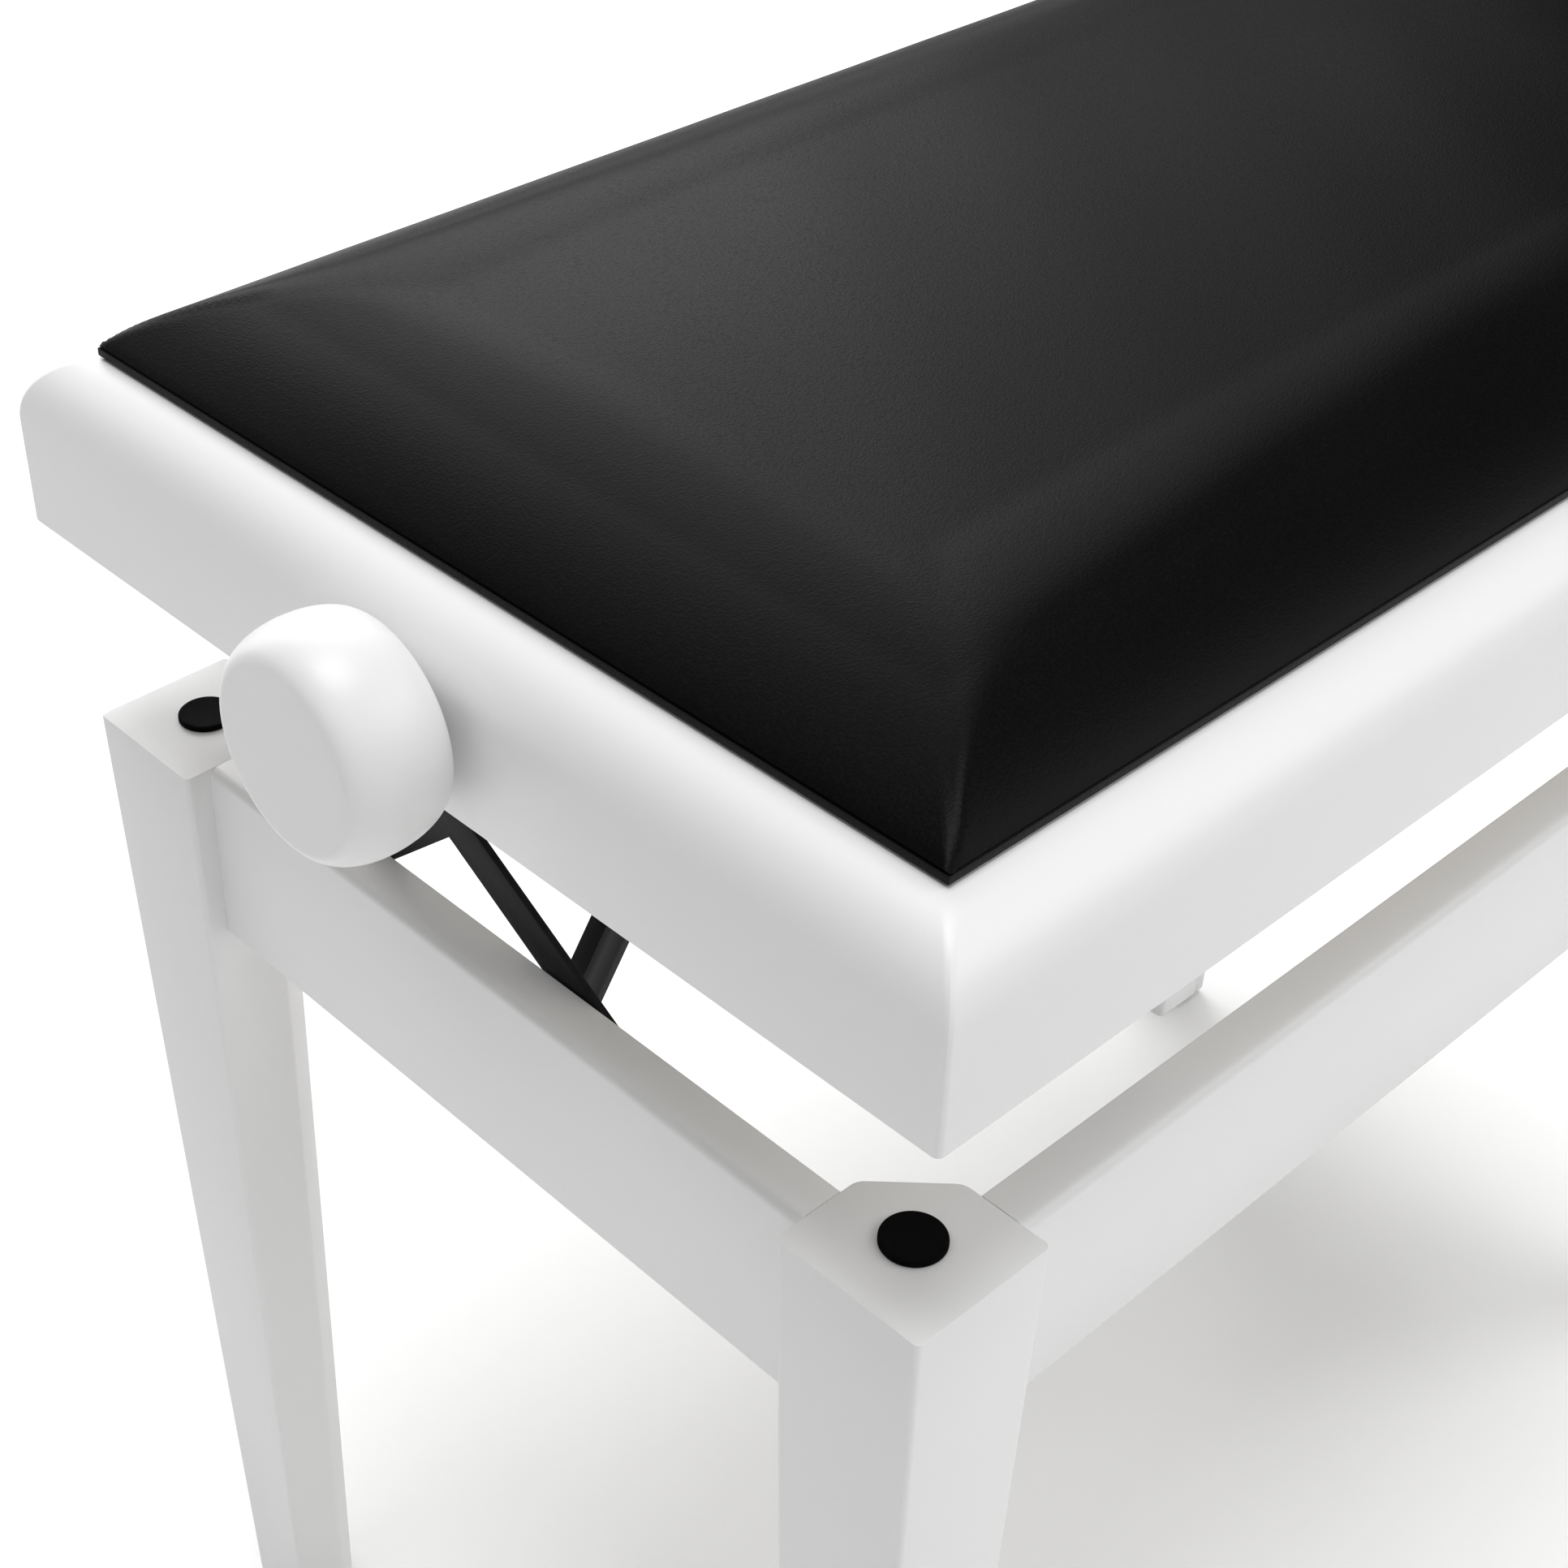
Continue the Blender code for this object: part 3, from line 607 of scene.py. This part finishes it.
xs = spread_to(half_x, close_spacing, wide_spacing)
ys = spread_to(half_y, close_spacing, wide_spacing)
grid_x, grid_y = np.meshgrid(xs, ys)
from_end = half_x - np.abs(grid_x)
from_side = half_y - np.abs(grid_y)
nearest = np.minimum(from_end, from_side)
by_end = rise(from_end, half_x, end_doming)
by_side = rise(from_side, half_y, side_doming)
softness = corner_softness + crown_softness * np.clip(nearest / shoulder, 0, 1) ** 2
apart = np.clip(0.5 + 0.5 * (by_side - by_end) / softness, 0, 1)
heights = by_side * (1 - apart) + by_end * apart - softness * apart * (1 - apart)

form = swollen_form()
step = form.modifiers.new("remesh", "REMESH")
step.mode = "VOXEL"
step.voxel_size = cloth_size
bpy.ops.object.select_all(action="DESELECT")
form.select_set(True)
bpy.context.view_layer.objects.active = form
bpy.ops.object.modifier_apply(modifier="remesh")
held = form.vertex_groups.new(name="held")
held.add([v.index for v in form.data.vertices if v.co.z < cushion_low.z + border],
         1.0, "REPLACE")
cloth = form.modifiers.new("cover", "CLOTH")
cloth.settings.effector_weights.gravity = 0
cloth.settings.use_pressure = True
cloth.settings.uniform_pressure_force = pressure
cloth.settings.vertex_group_mass = "held"
cloth.settings.tension_stiffness = stretch_stiffness
cloth.settings.compression_stiffness = stretch_stiffness
cloth.settings.bending_stiffness = fold_stiffness
for moment in range(1, moments + 1):
    bpy.context.scene.frame_set(moment)
bpy.ops.object.modifier_apply(modifier="cover")
bpy.context.scene.frame_set(1)
cover = BVHTree.FromPolygons([v.co.copy() for v in form.data.vertices],
                             [tuple(p.vertices) for p in form.data.polygons])
swell = np.zeros_like(heights)
for j, y in enumerate(ys):
    for i, x in enumerate(xs):
        struck = cover.ray_cast(Vector((x, y, 1.0)), Vector((0, 0, -1)))[0]
        if struck is not None:
            swell[j, i] = struck.z - cushion_low.z - border - heights[j, i]
swell -= np.median(swell[nearest > shoulder])
swell = np.clip(swell, -swell_limit, swell_limit)
for settling in range(settling_passes):
    padded = np.pad(swell, 1, mode="edge")
    swell = (padded[1:-1, :-2] + padded[1:-1, 2:] + padded[:-2, 1:-1] + padded[2:, 1:-1]
             + 2 * swell) / 6
heights = heights + swell_share * swell * np.clip(nearest / calm_edge, 0, 1) ** 2
bpy.data.objects.remove(form, do_unlink=True)

skew = (from_end - from_side) / math.sqrt(2)
pleat_run = (from_end + from_side) / math.sqrt(2)
fade = np.clip(1 - pleat_run / pleat_length, 0, 1) ** 0.5
heights = heights - pleat_depth * fade * np.exp(-((skew - pleat_offset) / pleat_width) ** 2)
pucker = np.exp(-((pleat_run - pucker_at) / pucker_size) ** 2 - (skew / pucker_size) ** 2)
heights = heights + pucker_height * pucker * np.sin(skew * 1400 + pleat_run * 500)
wander = (np.sin(grid_x * 31 + 1.3) * np.sin(grid_y * 43 + 0.4)
          + np.sin(grid_x * 83 - grid_y * 57)) / 2
heights = heights + wander_height * wander * np.clip(nearest / calm_edge, 0, 1)
cushion = leather_sheet(xs, ys, cushion_low.z + border + heights)
smooth(cushion, 50)

leatherette, shader, place = new_finish("black_leatherette", Specular_IOR_Level=0.052)
cells = place.node("TexVoronoi", {"feature": "SMOOTH_F1"}, {"Vector": place, "Scale": 1500.0,
                                                            "Smoothness": 0.6})
warp = place.speckle(420.0, 3.0)
soft = place.speckle(9.0, 2.0)
feed(shader, Base_Color=(0.5 * cells + 0.5 * soft).between((0.0020, 0.0020, 0.0021),
                                                           (0.0045, 0.0045, 0.0045)),
     Roughness=0.28 + 0.14 * cells + 0.08 * soft, Normal=(cells + 0.5 * warp).bump(0.22, 0.00018))
take_place(cushion, "cushion", leatherette)

# ---------------------------------------------------------------- guide posts
# Four short beech posts glued under the panel. They slide just inside the long rails, which keeps
# the seat square on the base as it rises. Edges eased, white lacquer.
post_ease = 0.0018
post = block("wood_guide_post_front_left", *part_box("guide_post_front_left"))
edit(post)
low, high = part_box("guide_post_front_left")
choose(post, "EDGE", lambda middle, way: middle.z < high.z - 0.001)
bpy.ops.mesh.bevel(offset=post_ease, segments=4, affect="EDGES")
leave()
for end, across in ends:
    for face, along in faces:
        name = f"wood_guide_post_{face}_{end}"
        mirror = Matrix.Diagonal((across, along, 1, 1))
        made = post if name == post.name else copy_of(post, name, mirror)
        smooth(made)
        take_place(made, f"guide_post_{face}_{end}", lacquer)

# ---------------------------------------------------------------- upper brackets and bushes
# A folded channel under each end of the panel holds the tops of the brace arms. A flanged bush
# pressed into each end board carries the spindle.
for end, across in ends:
    take_place(refined(f"upper_bracket_{end}", f"steel_upper_bracket_{end}", plate_ease),
               f"upper_bracket_{end}", powder_coat)
    take_place(refined(f"spindle_bush_{end}", f"steel_spindle_bush_{end}", bush_ease),
               f"spindle_bush_{end}", powder_coat)

# ---------------------------------------------------------------- spindle
# One steel rod from knob to knob. It has a right-hand thread on one side and a left-hand thread on
# the other, each as long as the nut's travel, rolled into the plain rod; zinc plated.
lead = 0.004
thread_depth = 0.0006
thread_inner = 0.090
thread_outer = 0.194
spindle_ease = 0.0006
low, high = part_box("spindle")
rod_radius = (high.z - low.z) / 2
spindle = rod("spindle", "zinc_spindle", 0, spindle_ease, 48)
edit(spindle)
for sign in (-1, 1):
    for plane in (thread_inner, thread_outer):
        bpy.ops.mesh.select_all(action="SELECT")
        bpy.ops.mesh.bisect(plane_co=(sign * plane, 0, 0), plane_no=(1, 0, 0))
choose(spindle, "FACE", lambda middle, normal: thread_inner < abs(middle.x) < thread_outer)
bpy.ops.mesh.delete(type="FACE")
leave()
turns = round((thread_outer - thread_inner) / lead)
for sign in (-1, 1):
    bpy.ops.object.select_all(action="DESELECT")
    teeth = bpy.data.meshes.new("thread")
    steps = ((0, 1), (0.20, 1), (0.40, 0), (0.80, 0), (1, 1))
    teeth.from_pydata([(sign * (thread_inner + share * lead), 0, rod_radius - thread_depth * deep)
                       for share, deep in steps],
                      [(k, k + 1) for k in range(len(steps) - 1)], [])
    coil = bpy.data.objects.new("thread", teeth)
    bpy.context.scene.collection.objects.link(coil)
    coil.select_set(True)
    bpy.context.view_layer.objects.active = coil
    step = coil.modifiers.new("wind", "SCREW")
    step.axis = "X"
    step.screw_offset = sign * lead
    step.iterations = turns
    step.steps = step.render_steps = 24
    step.use_merge_vertices = True
    step.merge_threshold = 0.00001
    bpy.ops.object.modifier_apply(modifier="wind")
    coil.data.transform(Matrix.Translation((0, 0, spindle_z)))
    edit(coil)
    bpy.ops.mesh.select_all(action="SELECT")
    bpy.ops.mesh.remove_doubles(threshold=0.00001)
    bpy.ops.mesh.select_all(action="DESELECT")
    bpy.ops.mesh.select_mode(type="VERT")
    bpy.ops.mesh.select_non_manifold()
    bpy.ops.mesh.edge_face_add()
    bpy.ops.mesh.select_all(action="SELECT")
    bpy.ops.mesh.normals_make_consistent(inside=False)
    leave()
    bpy.ops.object.select_all(action="DESELECT")
    coil.select_set(True)
    spindle.select_set(True)
    bpy.context.view_layer.objects.active = spindle
    bpy.ops.object.join()
edit(spindle)
bpy.ops.mesh.select_all(action="DESELECT")
bpy.ops.mesh.select_mode(type="VERT")
bpy.ops.mesh.select_non_manifold()
bpy.ops.mesh.edge_face_add()
leave()
smooth(spindle, 30)
take_place(spindle, "spindle", zinc)

# ---------------------------------------------------------------- knobs
# A turned beech knob on each end of the spindle: a flat face with a rounded rim, a full belly and a
# narrower back, bored for the rod. White lacquer.
knob_belly = 0.014
knob_face_radius = 0.0225
knob_back_radius = 0.0241
knob_bore = 0.016
knob_bore_fit = 0.0003
face_inset = 0.002
belly_steps = 12
rim_steps = 16
for end, sign in (("left", -1), ("right", 1)):
    low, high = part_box(f"knob_{end}")
    knob_radius = (high.z - low.z) / 2
    length = high.x - low.x
    back = high.x if sign < 0 else low.x
    profile = []
    for k in range(belly_steps + 1):
        angle = math.pi / 2 * k / belly_steps
        profile.append((knob_belly * (1 - math.cos(angle)),
                        knob_back_radius + (knob_radius - knob_back_radius) * math.sin(angle)))
    for k in range(1, rim_steps + 1):
        angle = math.pi / 2 * k / rim_steps
        profile.append((knob_belly + (length - knob_belly) * math.sin(angle),
                        knob_face_radius + (knob_radius - knob_face_radius) * math.cos(angle)))
    bpy.ops.object.select_all(action="DESELECT")
    bpy.ops.mesh.primitive_circle_add(vertices=96, radius=profile[0][1], fill_type="NGON",
                                      location=(back, 0, spindle_z), rotation=(0, math.pi / 2, 0))
    knob = bpy.context.object
    knob.name = f"wood_knob_{end}"
    bpy.ops.object.transform_apply(location=True, rotation=True, scale=True)
    edit(knob)
    bpy.ops.mesh.select_all(action="SELECT")
    for (along, radius), (next_along, next_radius) in zip(profile, profile[1:]):
        bpy.ops.mesh.extrude_region_move(
            TRANSFORM_OT_translate={"value": (sign * (next_along - along), 0, 0)})
        grow = next_radius / radius
        bpy.ops.transform.resize(value=(1, grow, grow),
                                 center_override=(back + sign * next_along, 0, spindle_z))
    bpy.ops.mesh.inset(thickness=face_inset)
    choose(knob, "FACE", lambda middle, normal: abs(middle.x - back) < 0.00005)
    bpy.ops.mesh.inset(thickness=knob_back_radius - rod_radius - knob_bore_fit)
    bpy.ops.mesh.extrude_region_move(TRANSFORM_OT_translate={"value": (sign * knob_bore, 0, 0)})
    bpy.ops.mesh.select_all(action="SELECT")
    bpy.ops.mesh.normals_make_consistent(inside=False)
    leave()
    smooth(knob, 40)
    take_place(knob, f"knob_{end}", lacquer)

# ---------------------------------------------------------------- studio
# A pale paper floor and backdrop, broad light from above, wide soft lamps all round, and a camera
# above the front left corner, looking down at it.
floor_size = 30
room_light = 0.01
backdrop_tone = 0.62
lamp_distance = 3.0
lamp_size = 2.0
overhead_strength = 2.15
overhead_spread = 37
aim = Vector((0, 0, 0.45))
bpy.ops.object.select_all(action="DESELECT")
bpy.ops.mesh.primitive_plane_add(size=floor_size, location=(0, 0, 0))
floor = bpy.context.object
floor.name = "studio_floor"
paper, shader, place = new_finish("pale_floor", Roughness=0.9, Specular_IOR_Level=0.1)
feed(shader, Base_Color=place.speckle(3.0).between((0.895, 0.895, 0.895), (0.905, 0.905, 0.905)))
floor.data.materials.append(paper)

world = bpy.data.worlds.new("studio")
bpy.context.scene.world = world
world.use_nodes = True
nodes = world.node_tree.nodes
links = world.node_tree.links
dim = nodes["Background"]
backdrop = nodes.new("ShaderNodeBackground")
for light, strength in ((dim, room_light), (backdrop, backdrop_tone)):
    light.inputs["Color"].default_value = (1, 1, 1, 1)
    light.inputs["Strength"].default_value = strength
seen = nodes.new("ShaderNodeLightPath")
either = nodes.new("ShaderNodeMixShader")
links.new(seen.outputs["Is Camera Ray"], either.inputs[0])
links.new(dim.outputs[0], either.inputs[1])
links.new(backdrop.outputs[0], either.inputs[2])
links.new(either.outputs[0], nodes["World Output"].inputs["Surface"])

skylight = bpy.data.lights.new("overhead", "SUN")
skylight.energy = overhead_strength
skylight.angle = math.radians(overhead_spread)
skylight_object = bpy.data.objects.new("overhead", skylight)
skylight_object.location = aim + Vector((0, 0, lamp_distance))
bpy.context.scene.collection.objects.link(skylight_object)
lamps = (("front", (0.0, -0.8, 0.6), 9), ("back_low", (0.0, 0.97, 0.25), 24),
         ("left", (-0.8, 0.0, 0.6), 9), ("camera_side", (-0.45, -0.55, 0.7), 8),
         ("front_right", (0.55, -0.65, 0.5), 30), ("back_right", (0.55, 0.6, 0.58), 13),
         ("back", (0.35, 0.77, 0.54), 31))
for name, way, power in lamps:
    lamp = bpy.data.lights.new(name, "AREA")
    lamp.size = lamp_size
    lamp.energy = power
    lamp_object = bpy.data.objects.new(name, lamp)
    lamp_object.location = aim + lamp_distance * Vector(way).normalized()
    lamp_object.rotation_euler = (-Vector(way)).to_track_quat("-Z", "Y").to_euler()
    bpy.context.scene.collection.objects.link(lamp_object)
bpy.context.scene.view_settings.view_transform = "Standard"

camera_place = Vector((-0.5549, -0.3915, 0.8185))
camera_direction = Vector((0.5453, 0.5923, -0.5932))
camera = bpy.data.cameras.new("camera")
camera.lens = 58.883
camera.sensor_width = 36
camera.shift_x = 0.0689
camera.shift_y = -0.0060
camera.clip_start = 0.01
camera_object = bpy.data.objects.new("camera", camera)
camera_object.location = camera_place
camera_object.rotation_euler = camera_direction.to_track_quat("-Z", "Y").to_euler()
bpy.context.scene.collection.objects.link(camera_object)
bpy.context.scene.camera = camera_object
